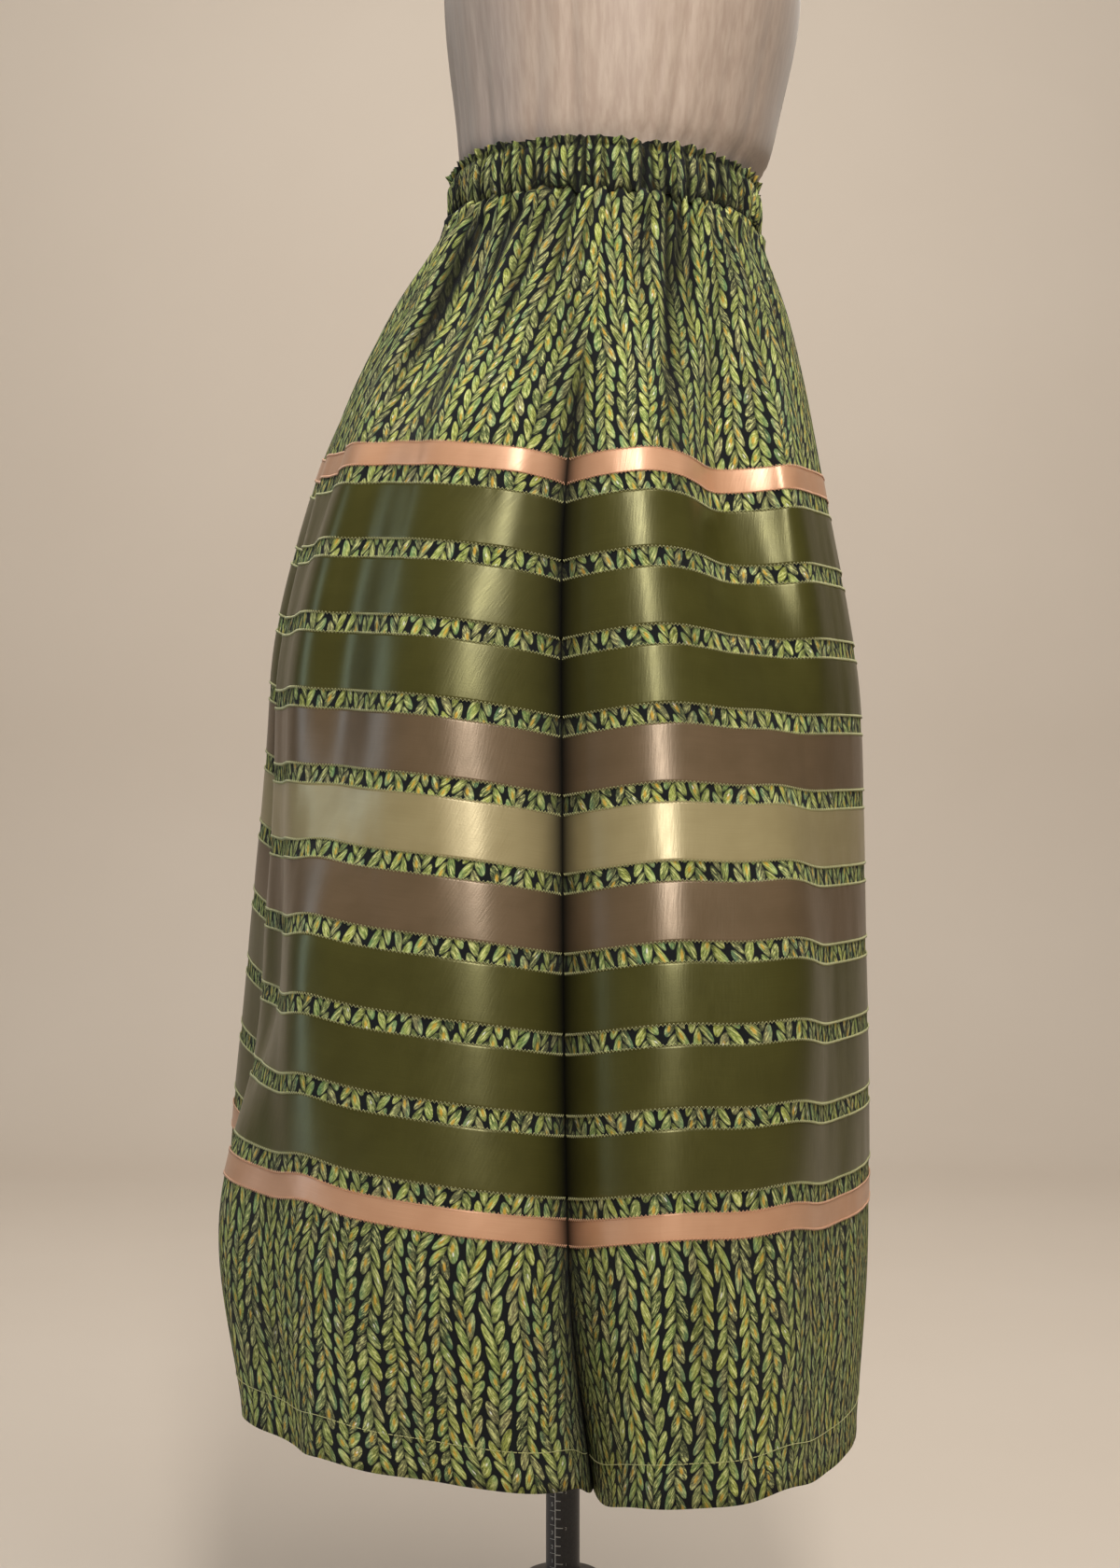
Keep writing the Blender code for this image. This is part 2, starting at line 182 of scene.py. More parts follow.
def outwardNormals(grid, closed=False):
    above = np.concatenate([grid[:1], grid[:-1]])
    below = np.concatenate([grid[1:], grid[-1:]])
    if closed:
        before, after = np.roll(grid, 1, axis=1), np.roll(grid, -1, axis=1)
    else:
        before = np.concatenate([grid[:, :1], grid[:, :-1]], axis=1)
        after = np.concatenate([grid[:, 1:], grid[:, -1:]], axis=1)
    normals = np.cross(above - below, before - after)
    return normals / np.linalg.norm(normals, axis=2, keepdims=True)


def softNoise(u, v, seed):
    # smooth random values from -1 to 1, a new one at each whole u and v
    table = np.random.default_rng(seed).uniform(-1, 1, (64, 64))
    cellU, cellV = np.floor(u).astype(int), np.floor(v).astype(int)
    partU, partV = u - cellU, v - cellV
    partU, partV = partU**2 * (3 - 2 * partU), partV**2 * (3 - 2 * partV)
    value = 0
    for stepU, shareU in ((0, 1 - partU), (1, partU)):
        for stepV, shareV in ((0, 1 - partV), (1, partV)):
            value = value + table[(cellU + stepU) % 64, (cellV + stepV) % 64] * shareU * shareV
    return value


def gridFaces(rows, columns, closed, start=0):
    i, j = np.meshgrid(np.arange(rows - 1), np.arange(columns if closed else columns - 1), indexing="ij")
    k = (j + 1) % columns
    corner = lambda row, column: (start + row * columns + column).ravel()
    return np.stack([corner(i, j), corner(i + 1, j), corner(i + 1, k), corner(i, k)], axis=1)


def shellPiece(name, outer, inner, material, uv, closed=False, paintedShade=None):
    # a closed thin wall between two grids, rows from the top down; uv is for one grid, and so is the painted
    # shade, if any
    rows, columns = outer.shape[:2]
    count = rows * columns
    faces = [gridFaces(rows, columns, closed), gridFaces(rows, columns, closed, count)[:, ::-1]]
    j = np.arange(columns if closed else columns - 1)
    k = (j + 1) % columns
    last = (rows - 1) * columns
    faces.append(np.stack([j, k, count + k, count + j], axis=1))
    faces.append(np.stack([last + k, last + j, count + last + j, count + last + k], axis=1))
    if not closed:
        i = np.arange(rows - 1) * columns
        e = i + columns - 1
        faces.append(np.stack([i, count + i, count + i + columns, i + columns], axis=1))
        faces.append(np.stack([e + columns, count + e + columns, count + e, e], axis=1))
    faces = np.concatenate(faces)
    mesh = bpy.data.meshes.new(name)
    mesh.from_pydata(np.concatenate([outer.reshape(-1, 3), inner.reshape(-1, 3)]), [], faces)
    both = np.concatenate([uv.reshape(-1, 2)] * 2)
    corners = both[faces].copy()
    if closed:  # the last column's faces run on instead of back to the start
        turn = uv[0, -1, 0] + (uv[0, 1, 0] - uv[0, 0, 0]) - uv[0, 0, 0]
        wraps = (corners[:, :, 0].max(axis=1) - corners[:, :, 0].min(axis=1)) > turn / 2
        low = corners[:, :, 0] < turn / 2
        corners[:, :, 0] += turn * (low & wraps[:, None])
    # the painted shade: how much the cloth's colour is darkened at each point, kept as a point attribute
    if paintedShade is not None:
        attribute = mesh.attributes.new("paintedShade", "FLOAT", "POINT")
        attribute.data.foreach_set("value", np.tile(paintedShade.ravel(), 2).astype(np.float32))
    layer = mesh.uv_layers.new(name="cloth")
    layer.data.foreach_set("uv", corners.astype(np.float32).ravel())
    mesh.shade_smooth()
    mesh.materials.append(material)
    return addPiece(name, mesh)


def cappedRings(name, grid, ends, material, sharpAngle):
    # rings from the top down, closed at both ends by a fan round a middle point
    rows, columns = grid.shape[:2]
    top, bottom, last = rows * columns, rows * columns + 1, (rows - 1) * columns
    faces = gridFaces(rows, columns, closed=True).tolist()
    for j in range(columns):
        k = (j + 1) % columns
        faces.append([top, j, k])
        faces.append([bottom, last + k, last + j])
    mesh = bpy.data.meshes.new(name)
    mesh.from_pydata(np.concatenate([grid.reshape(-1, 3), ends]), [], faces)
    mesh.shade_smooth()
    mesh.set_sharp_from_angle(angle=math.radians(sharpAngle))
    mesh.materials.append(material)
    return addPiece(name, mesh)


def addPiece(name, mesh):
    piece = bpy.data.objects.new(name, mesh)
    scene.collection.objects.link(piece)
    return piece


# Shader helpers

def linear(red, green, blue):
    shares = [value / 255 for value in (red, green, blue)]
    return tuple(((c + 0.055) / 1.055) ** 2.4 if c > 10 / 255 else c / 12.92 for c in shares) + (1.0,)


def newMaterial(name, **fixed):
    material = bpy.data.materials.new(name)
    material.use_nodes = True
    shader = material.node_tree.nodes["Principled BSDF"]
    for socket, value in fixed.items():
        shader.inputs[socket.replace("_", " ")].default_value = value
    return material, material.node_tree, shader


def addNode(tree, kind, inputs=None, **settings):
    made = tree.nodes.new(kind)
    for key, value in settings.items():
        setattr(made, key, value)
    for key, value in (inputs or {}).items():
        if isinstance(value, bpy.types.NodeSocket):
            tree.links.new(value, made.inputs[key])
        else:
            made.inputs[key].default_value = value
    return made


def shaderNode(tree, kind, inputs=None, **settings):
    return addNode(tree, "ShaderNode" + kind, inputs, **settings)


def geometryNode(tree, kind, inputs=None, **settings):
    return addNode(tree, "GeometryNode" + kind, inputs, **settings)


def calc(tree, operation, *values, clamp=False):
    made = shaderNode(tree, "Math", dict(enumerate(values)), operation=operation, use_clamp=clamp)
    return made.outputs[0]


def sums(tree):
    # short names for the sums that a shader uses most
    operations = ("MULTIPLY", "MULTIPLY_ADD", "ADD", "SUBTRACT", "DIVIDE", "POWER", "GREATER_THAN")
    return (lambda *values, named=name, **more: calc(tree, named, *values, **more) for name in operations)


def mixed(tree, factor, first, second, blend="MIX"):
    inputs = {0: factor, 6: first, 7: second}
    return shaderNode(tree, "Mix", inputs, data_type="RGBA", blend_type=blend).outputs[2]


def ramp(tree, factor, stops, interpolation="LINEAR"):
    made = shaderNode(tree, "ValToRGB", {0: factor})
    made.color_ramp.interpolation = interpolation
    elements = made.color_ramp.elements
    while len(elements) < len(stops):
        elements.new(0.5)
    for element, (place, colour) in zip(elements, stops):
        element.position = place
        element.color = colour
    return made.outputs[0]


def between(tree, value, low, high):
    # 0 at low, 1 at high, smooth in between
    inputs = {0: value, 1: low, 2: high, 3: 0.0, 4: 1.0}
    return shaderNode(tree, "MapRange", inputs, interpolation_type="SMOOTHSTEP").outputs[0]


def vector(tree, x, y, z=0.0):
    return shaderNode(tree, "CombineXYZ", {0: x, 1: y, 2: z}).outputs[0]


def randoms(tree, x, y, z):
    # three random values for each whole x, y, z
    inputs = {"Vector": vector(tree, x, y, z)}
    made = shaderNode(tree, "TexWhiteNoise", inputs, noise_dimensions="3D")
    return shaderNode(tree, "SeparateColor", {0: made.outputs["Color"]}).outputs


def noise(tree, place, scale, detail=2.0, roughness=0.5):
    inputs = {"Vector": place, "Scale": scale, "Detail": detail, "Roughness": roughness}
    return shaderNode(tree, "TexNoise", inputs).outputs


def ownPlace(tree):
    return shaderNode(tree, "TexCoord").outputs["Object"]


# reads the painted shade that the cloth pieces carry
def paintedShadeAttribute(tree):
    return shaderNode(tree, "Attribute", attribute_name="paintedShade").outputs["Fac"]


def clothPlace(tree):
    # metres across and down the cloth
    coordinates = shaderNode(tree, "TexCoord").outputs["UV"]
    split = shaderNode(tree, "SeparateXYZ", {0: coordinates}).outputs
    return coordinates, split[0], split[1]


def feed(tree, shader, **sockets):
    for socket, value in sockets.items():
        tree.links.new(value, shader.inputs[socket.replace("_", " ")])


def bumped(tree, shader, height, distance, strength=1.0):
    made = shaderNode(tree, "Bump", {"Height": height, "Distance": distance, "Strength": strength})
    feed(tree, shader, Normal=made.outputs[0])


leafPrint = {
    "braid": 0.0162,
    "pitch": 0.0120,
    "slope": 1.32,
    "outline": 0.00047,
    "thread": 0.00042,
    "ground": linear(18, 21, 23),
    "deep": linear(8, 9, 8),  # painted shade: the colour in the creases, at the side seams and along the waistband's edges
    "greens": (
        (0.00, linear(104, 114, 58)),
        (0.18, linear(176, 184, 88)),
        (0.34, linear(126, 154, 84)),
        (0.50, linear(142, 136, 98)),
        (0.64, linear(60, 76, 50)),
        (0.82, linear(168, 182, 96)),
        (1.00, linear(92, 92, 68)),
    ),
    "light": linear(228, 230, 156),
    "dark": linear(36, 46, 32),
    "amber": linear(212, 168, 62),
    "teal": linear(104, 156, 118),
    "glint": linear(240, 242, 232),
}


def makeLeafPrint(name):
    p = leafPrint
    material, tree, shader = newMaterial(
        name, Roughness=0.82, Sheen_Weight=0.04, Sheen_Roughness=0.5, Specular_IOR_Level=0.2
    )
    times, timesPlus, plus, minus, over, power, past = sums(tree)
    place, across, down = clothPlace(tree)
    wander = noise(tree, place, 19.0, 1.0, 0.4)["Color"]
    drift = shaderNode(tree, "SeparateColor", {0: wander}).outputs
    column = over(timesPlus(minus(drift[0], 0.5), 0.0160, across), p["braid"])
    braid = calc(tree, "FLOOR", column)
    aside = times(minus(minus(column, braid), 0.5), 2.0)
    right = past(aside, 0.0)
    out = calc(tree, "ABSOLUTE", aside)  # 0 on the braid's middle line, 1 at its edge
    own = randoms(tree, braid, 7.0, 3.0)
    leaning = timesPlus(past(own[0], 0.42), 2.0, -1.0)
    up = timesPlus(minus(drift[1], 0.5), 0.020, times(down, -1.0))
    row = times(over(up, p["pitch"]), timesPlus(own[2], 0.28, 0.86))
    row = plus(row, timesPlus(own[1], 9.0, times(right, 0.5)))
    lean = p["slope"] * p["braid"] / 2 / p["pitch"]
    row = minus(row, times(times(leaning, lean), out))
    leaf = calc(tree, "FLOOR", row)
    side = minus(minus(row, leaf), 0.5)  # -0.5 to 0.5 across a leaf
    one = randoms(tree, braid, leaf, timesPlus(right, 5.0, 11.0))
    two = randoms(tree, braid, leaf, timesPlus(right, 5.0, 41.0))
    along = over(plus(out, 0.10), timesPlus(one[1], 0.12, 0.92))
    plump = times(times(along, minus(1.0, along)), 4.0, clamp=True)
    half = times(power(plump, 0.40), timesPlus(one[0], 0.03, 0.484))
    inside = minus(half, calc(tree, "ABSOLUTE", side))
    inside = times(inside, p["pitch"] / math.hypot(1, p["slope"]))
    grain = vector(tree, timesPlus(along, 1.9, times(one[1], 40.0)), times(side, 4.6), leaf)
    streak = noise(tree, grain, 1.5, 2.0, 0.55)["Fac"]
    fine = noise(tree, grain, 5.0, 2.0, 0.6)["Fac"]
    colour = ramp(tree, one[2], p["greens"])
    tints = (  # where each starts and ends, and its share; the last darkens the end that is tucked in
        (streak, 0.50, 0.32, 0.70, "dark"), (streak, 0.48, 0.66, 0.95, "light"),
        (fine, 0.48, 0.34, 0.45, "dark"), (fine, 0.54, 0.68, 0.40, "light"),
        (along, 0.42, 0.05, 0.70, "dark"),
    )
    for value, low, high, share, tint in tints:
        colour = mixed(tree, times(between(tree, value, low, high), share), colour, p[tint])
    # some tips are teal
    teal = times(between(tree, along, 0.45, 0.95), times(past(two[0], 0.60), 0.40))
    colour = mixed(tree, teal, colour, p["teal"])
    spot = power(over(minus(along, timesPlus(two[1], 0.3, 0.35)), 0.20), 2.0)
    spot = plus(spot, power(over(plus(side, timesPlus(fine, 0.3, -0.15)), 0.24), 2.0))
    amber = times(between(tree, spot, 1.0, 0.0), past(two[2], 0.60))
    colour = mixed(tree, times(amber, 0.85), colour, p["amber"])
    gleam = power(over(minus(along, 0.62), 0.10), 2.0)
    gleam = plus(gleam, power(over(minus(side, timesPlus(two[1], 0.3, -0.15)), 0.07), 2.0))
    gleam = times(between(tree, gleam, 1.3, 0.2), past(one[1], 0.88))
    colour = mixed(tree, times(gleam, 0.9), colour, p["glint"])
    rim = between(tree, inside, p["outline"] * 2.6, p["outline"] * 0.9)
    colour = mixed(tree, times(rim, 0.45), colour, p["dark"])
    cover = between(tree, inside, p["outline"] * 0.35, p["outline"] * 1.05)
    colour = mixed(tree, cover, p["ground"], colour)
    # painted shade: the print is darkened towards near black in the creases, at the side seams and along the
    # waistband's edges
    paintedShade = paintedShadeAttribute(tree)
    colour = mixed(tree, times(paintedShade, 0.94, clamp=True), colour, p["deep"])
    feed(tree, shader, Base_Color=colour)
    turns = 2 * math.pi / p["thread"]
    weave = times(calc(tree, "SINE", times(across, turns)), calc(tree, "SINE", times(down, turns)))
    weave = timesPlus(noise(tree, place, 160.0, 3.0)["Fac"], 2.2, weave)
    bumped(tree, shader, weave, 0.00012, 0.6)
    return material


satins = {
    "peach": {"colour": linear(214, 166, 132), "shade": linear(202, 152, 118), "metal": 0.22},
    "olive": {"colour": linear(90, 87, 40), "shade": linear(80, 77, 33), "metal": 0.45},
    "taupe": {"colour": linear(118, 98, 74), "shade": linear(106, 88, 64), "metal": 0.30},
    "sand": {"colour": linear(166, 152, 112), "shade": linear(154, 140, 100), "metal": 0.24},
}
satinWeave = {"weft": 0.0006, "crimp": 0.0013, "roughness": 0.37}


def makeSatin(name, colours):
    material, tree, shader = newMaterial(
        name, Metallic=colours["metal"], Anisotropic=0.40, Anisotropic_Rotation=0.25,
        Coat_Weight=0.16, Coat_Roughness=0.36, Specular_IOR_Level=0.5,
    )
    place, across, down = clothPlace(tree)
    times, timesPlus, _, _, over, _, _ = sums(tree)
    weft = noise(tree, vector(tree, times(across, 30.0), over(down, satinWeave["weft"])), 1.0, 1.0)["Fac"]
    crimp = noise(tree, vector(tree, over(across, satinWeave["crimp"]), times(down, 70.0)), 1.0, 3.0)["Fac"]
    cloud = noise(tree, place, 38.0, 2.0)["Fac"]
    colour = mixed(tree, times(between(tree, weft, 0.2, 0.8), 0.4), colours["colour"], colours["shade"])
    colour = mixed(tree, times(between(tree, cloud, 0.35, 0.7), 0.6), colour, colours["shade"])
    # painted shade: the satin is darkened towards near black deep in the fold at the side seam; the same
    # mask also makes it rougher there
    paintedShade = paintedShadeAttribute(tree)
    colour = mixed(tree, paintedShade, colour, linear(8, 8, 5))
    feed(tree, shader, Base_Color=colour)
    rough = timesPlus(crimp, 0.16, satinWeave["roughness"] - 0.08)
    rough = timesPlus(paintedShade, 0.4, rough)
    feed(tree, shader, Roughness=rough)
    mottle = noise(tree, place, 900.0, 2.0)["Fac"]
    height = timesPlus(mottle, 0.5, crimp)
    bumped(tree, shader, height, 0.00014, 0.5)
    tangent = shaderNode(tree, "Tangent", direction_type="UV_MAP", uv_map="cloth")
    feed(tree, shader, Tangent=tangent.outputs[0])
    return material


def makeThread(name, light, dark):
    material, tree, shader = newMaterial(name, Roughness=0.5, Sheen_Weight=0.2)
    coordinates = ownPlace(tree)
    ply = noise(tree, coordinates, 1400.0, 2.0)["Fac"]
    feed(tree, shader, Base_Color=mixed(tree, ply, dark, light))
    bumped(tree, shader, ply, 0.0001)
    return material


def makeCover(name):
    material, tree, shader = newMaterial(name, Sheen_Weight=0.25, Sheen_Roughness=0.4)
    coordinates = ownPlace(tree)
    stretched = shaderNode(tree, "Mapping", {0: coordinates, 3: (240.0, 240.0, 9.0)}).outputs[0]
    streak = noise(tree, stretched, 1.0, 4.0, 0.6)["Fac"]
    cloud = noise(tree, coordinates, 14.0, 2.0)["Fac"]
    knit = noise(tree, coordinates, 1900.0, 1.0)["Fac"]
    colour = mixed(tree, between(tree, streak, 0.3, 0.72), linear(170, 150, 136), linear(188, 170, 155))
    colour = mixed(tree, calc(tree, "MULTIPLY", cloud, 0.3), colour, linear(170, 149, 134))
    feed(tree, shader, Base_Color=colour)
    feed(tree, shader, Roughness=calc(tree, "MULTIPLY_ADD", streak, 0.2, 0.38))
    bumped(tree, shader, calc(tree, "MULTIPLY_ADD", knit, 0.35, streak), 0.00016, 0.5)
    return material


def makePaint(name, light, dark, roughness, grain):
    material, tree, shader = newMaterial(name)
    coordinates = ownPlace(tree)
    speckle = noise(tree, coordinates, grain, 3.0)["Fac"]
    wear = noise(tree, coordinates, 21.0, 4.0)["Fac"]
    colour = mixed(tree, between(tree, speckle, 0.35, 0.7), dark, light)
    feed(tree, shader, Base_Color=colour, Roughness=calc(tree, "MULTIPLY_ADD", wear, 0.22, roughness - 0.11))
    bumped(tree, shader, speckle, 0.0001, 0.5)
    return material


print("materials")
materials = {"print": makeLeafPrint("leaf_print_cotton")}
for colourName, colours in satins.items():
    materials[colourName] = makeSatin(colourName + "_satin_ribbon", colours)
materials["khakiThread"] = makeThread("khaki_sewing_thread", linear(206, 204, 142), linear(158, 158, 98))
materials["peachThread"] = makeThread("peach_sewing_thread", linear(240, 190, 150), linear(206, 146, 106))
materials["cover"] = makeCover("champagne_form_cover")
materials["paint"] = makePaint("charcoal_stand_paint", linear(52, 50, 52), linear(40, 39, 42), 0.42, 700.0)
materials["cap"] = makePaint("black_cap_plastic", linear(46, 45, 46), linear(38, 37, 38), 0.5, 900.0)
materials["marks"] = makePaint("white_scale_print", linear(226, 224, 218), linear(204, 202, 196), 0.6, 900.0)


# The skirt's cloth

gathers = {
    "spacing": (0.0075, 0.0145),
    "depth": (0.0030, 0.0095),
    "crease": 0.0030,  # how narrow the valleys are
    "run": (0.035, 0.110),  # how far down they fade
    "longEvery": 6,
    "longRun": 0.210,
    "drift": 0.05,
}
seamShade = {"top": 0.0045, "reach": 0.0170}  # painted shade: the cloth's colour is darkened deep in the fold at a side seam
mainCreases = {  # bearing at the top and at the end, end down the cloth, depth, width in degrees
    "front": (
        (-50, -54, 0.165, 0.0042, 2.6), (-45, -47, 0.120, 0.0030, 1.8), (-63, -66, 0.080, 0.0026, 2.2),
        (-77, -80, 0.090, 0.0020, 2.4), (-30, -27, 0.140, 0.0034, 2.6), (-12, -9, 0.100, 0.0028, 2.2),
        (7, 9, 0.150, 0.0034, 2.8), (24, 22, 0.090, 0.0026, 2.0), (41, 45, 0.170, 0.0040, 2.6),
        (58, 60, 0.110, 0.0028, 2.2), (75, 79, 0.080, 0.0022, 2.2),
    ),
    "back": (
        (-97, -101, 0.075, 0.0022, 2.2), (-108, -115, 0.120, 0.0030, 2.4), (-121, -129, 0.190, 0.0040, 2.8),
        (-137, -142, 0.150, 0.0038, 2.4), (-150, -149, 0.110, 0.0030, 2.4), (-166, -170, 0.200, 0.0036, 2.8),
        (178, 180, 0.120, 0.0030, 2.2), (163, 158, 0.160, 0.0036, 2.6), (146, 143, 0.100, 0.0028, 2.2),
        (129, 133, 0.180, 0.0038, 2.8), (113, 110, 0.090, 0.0026, 2.2), (99, 100, 0.070, 0.0020, 2.0),
    ),
}

puckers = {  # how far each kind stands out, and its reach down the cloth
    "puff": 0.0022, "puffMore": 0.0052, "puffDown": 0.008, "puffReach": 0.0065,
    "lower": 0.0011, "fine": 0.00030, "sewn": 0.00016, "sewnReach": 0.004,
    "hem": 0.0006, "hemReach": 0.004, "hemWave": 0.0010,
}

# the cloth hangs a little lower deep in the side folds
hemDip = {"from": 0.640, "depth": 0.015, "spread": {"front": 5.5, "back": 2.6}}
swells = {  # sideways ones: bearing, spread, height, from and to how far down the cloth
    "front": ((-36, 5.0, 0.0110, 0.150, 0.330), (37, 5.0, 0.0070, 0.160, 0.360)),
    "back": ((-141, 5.0, 0.0050, 0.170, 0.360), (143, 5.0, 0.0060, 0.180, 0.380)),
}


def ribbonBands():
    bands, top = [], ribbon["first"] - ribbon["narrow"] / 2
    for colour in ribbonColours:
        width = ribbon["narrow"] if colour == "peach" else ribbon["wide"]
        bands.append((top, top + width))
        top += width + ribbon["between"]
    return bands


def clothRows():
    # every row that the panel or a ribbon needs, and which of them the panel has
    bands = ribbonBands()
    panel = list(np.linspace(skirt["seamGap"], bands[0][0], 44)[:-1])
    extra = []
    for k, (top, bottom) in enumerate(bands):
        spots = [top + (bottom - top) * spot for spot in ribbon["spots"]]
        panel += [spots[n] for n in ribbon["panelSpots"]]
        extra += [spot for n, spot in enumerate(spots) if n not in ribbon["panelSpots"]]
        if k + 1 < len(bands):
            panel.append(bottom + ribbon["between"] / 2)
    panel += list(np.linspace(bands[-1][1], skirt["length"], 19)[1:])
    rows = np.array(sorted(panel + extra))
    return rows, np.isin(rows, panel)


def clothRelief(side, bearings, waistPlace, rows):
    # how far the cloth stands out of its plain form: gathers, main creases and small puckers; and the
    # painted shade in its creases and under the waistband
    random = np.random.default_rng(11 if side == "front" else 23)
    place, down = waistPlace[None, :], rows[:, None]
    width = waistPlace[-1]
    relief = np.zeros((len(rows), len(bearings)))
    at, number = random.uniform(*gathers["spacing"]) / 2, 0
    while at < width:
        depth, run = random.uniform(*gathers["depth"]), random.uniform(*gathers["run"])
        if number % gathers["longEvery"] == gathers["longEvery"] // 2:
            run = gathers["longRun"] * random.uniform(0.7, 1.0)
        away = place - at - random.uniform(-1, 1) * gathers["drift"] * down
        crease = gathers["crease"] * random.uniform(0.8, 1.5) * (1 + down / run)
        shape = np.exp(-((away / crease) ** 2 + 0.09) ** 0.5 + 0.3)
        shape -= 0.42 * np.exp(-((away / crease / 2.6) ** 2))
        relief -= depth * shape * np.exp(-((down / run) ** 1.4))
        at += random.uniform(*gathers["spacing"])
        number += 1
    p = puckers
    puff = np.exp(-(((down - p["puffDown"]) / p["puffReach"]) ** 2))
    relief += puff * (p["puff"] + p["puffMore"] * softNoise(place / 0.0070, down / 0.02, 9))
    for top, end, reach, depth, spread in mainCreases[side]:
        share = limited(down / reach)
        middle = (top + (end - top) * share) % 360
        away = degreesFrom(bearings[None, :], middle) / (spread * (0.7 + 0.8 * share))
        along = limited(np.minimum(0.4 + down / 0.012, (1 - share) * 3))
        valley = np.exp(-((away**2 + 0.04) ** 0.5) * 1.3) - 0.3 * np.exp(-(away / 2.4) ** 2)
        relief -= depth * valley * along
    spread = (waistPlace / width)[None, :] * 0.8
    lower = limited((down - 0.10) / 0.25)
    relief += p["lower"] * lower * softNoise(spread / 0.045, down / 0.35, 5)
    # painted shade: a dark strip just under the waistband, and darker the deeper a crease or gather lies
    top = np.exp(-down / 0.0045) * limited(0.35 + 0.9 * softNoise(place / 0.0080, down / 0.02, 10))
    paintedShade = limited(limited((-relief - 0.0003) / 0.0028) + top)
    relief += p["fine"] * softNoise(spread / 0.016 + 9, down / 0.050, 6)
    bands = ribbonBands()
    fromEdge = np.min([abs(rows - edge) for band in bands for edge in band], axis=0)
    sewn = np.exp(-(fromEdge / p["sewnReach"]) ** 2)[:, None]
    relief += p["sewn"] * sewn * softNoise(spread / 0.0065, down / 0.012, 7)
    hem = np.exp(-((skirt["length"] - down) / p["hemReach"]))
    hemWave = softNoise(spread / 0.03, down / 0.5 + 3, 8) * limited((down - 0.7) / 0.14)
    relief += p["hem"] * hem + p["hemWave"] * hemWave
    fromSeam = np.minimum(place, width - place)
    fade = 1 - np.exp(-fromSeam / 0.006)
    return relief * fade, paintedShade * fade


def makeCloth(side, seamBefore, seamAfter):
    # the outer face of one panel, as a fine grid, with its normals, its place on the flat cut and its
    # painted shade
    quarter = skirt["columns"] // 2
    steps = 90 * (np.arange(quarter) / quarter) ** skirt["crowding"]
    middle = (seamBefore + seamAfter) / 2
    bearings = np.concatenate([seamBefore + steps, [middle], (seamAfter - steps)[::-1]])
    rows, panelRows = clothRows()
    grid = skirtGrid(bearings, rows)
    waist = np.concatenate([[0], np.cumsum(np.linalg.norm(np.diff(grid[0], axis=0), axis=1))])
    relief, paintedShade = clothRelief(side, bearings, waist, rows)
    for seam in (-90, 90):
        away = degreesFrom(bearings[None, :], seam) / hemDip["spread"][side]
        share = limited((rows[:, None] - hemDip["from"]) / (skirt["length"] - hemDip["from"])) ** 1.5
        grid[:, :, 2] -= hemDip["depth"] * share * np.exp(-away * away)
    for bearing, spread, high, start, end in swells[side]:
        away = degreesFrom(bearings[None, :], bearing) / spread
        along = (rows[:, None] - (start + end) / 2) / (end - start) * 2
        share = np.exp(-away * away) * np.exp(-(along**4))
        grid[:, :, 1] += high * math.copysign(1, math.sin(math.radians(bearing))) * share
    grid = grid + outwardNormals(grid) * relief[:, :, None]
    lengths = np.linalg.norm(np.diff(grid, axis=1), axis=2)
    # painted seam shade: how far down the yoke it has come in, and how far from the seam it reaches
    deep = limited((rows - 0.095) / 0.045)[:, None]
    growth = limited((rows - 0.10) / 0.13)[:, None]
    reach = seamShade["top"] + (seamShade["reach"] - seamShade["top"]) * growth
    run = np.concatenate([np.zeros((len(rows), 1)), np.cumsum(lengths, axis=1)], axis=1)
    flat = skirt["flatWaist"] + (skirt["flatHem"] - skirt["flatWaist"]) * rows / skirt["length"]
    across = (run / run[:, -1:] - 0.5) * flat[:, None]
    fromSeam = np.minimum(run, run[:, -1:] - run)
    # painted shade deep in the fold at the side seam; it darkens both the panel and the ribbons
    valley = 1.02 * deep * np.exp(-((fromSeam / reach) ** 1.2))
    uv = np.stack([across, np.broadcast_to(rows[:, None], across.shape)], axis=2)
    return {
        "side": side, "rows": rows, "panelRows": panelRows, "grid": grid,
        "normals": outwardNormals(grid), "run": run, "uv": uv, "valley": np.minimum(valley, 1),
        "paintedShade": limited(np.maximum(paintedShade, valley)),
    }


def makePanel(cloth):
    keep = cloth["panelRows"]
    outer, normals = cloth["grid"][keep], cloth["normals"][keep]
    name = cloth["side"] + "_panel_cloth"
    uv = cloth["uv"][keep] + np.array([0.0 if cloth["side"] == "front" else 3.0, 0.0])
    inner = outer - normals * skirt["cloth"]
    panel = shellPiece(name, outer, inner, materials["print"], uv, paintedShade=cloth["paintedShade"][keep])
    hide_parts(cloth["side"] + "_panel")
    return panel


def makeRibbon(cloth, number, colour, band):
    rows = cloth["rows"]
    mine = (rows > band[0] - 1e-6) & (rows < band[1] + 1e-6)
    grid, normals = cloth["grid"][mine], cloth["normals"][mine]
    across = (rows[mine] - band[0]) / (band[1] - band[0]) * 2 - 1
    lift = ribbon["lift"] + ribbon["puff"] * (1 - across**8)
    under = grid + normals * lift[:, None, None]
    outer = under + normals * ribbon["cloth"]
    uv = np.stack([cloth["run"][mine], np.broadcast_to(rows[mine][:, None], grid.shape[:2])], axis=2)
    uv = uv + np.array([0.37 * number + (0 if cloth["side"] == "front" else 5), 0])
    node = f"ribbon_{number:02d}_{colour}_{cloth['side']}"
    # the ribbons get only the painted seam shade
    piece = shellPiece(node + "_satin", outer, under, materials[colour], uv, paintedShade=cloth["valley"][mine])
    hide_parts(node)
    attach(piece, "root")
    return piece


# Stitches, by Geometry Nodes

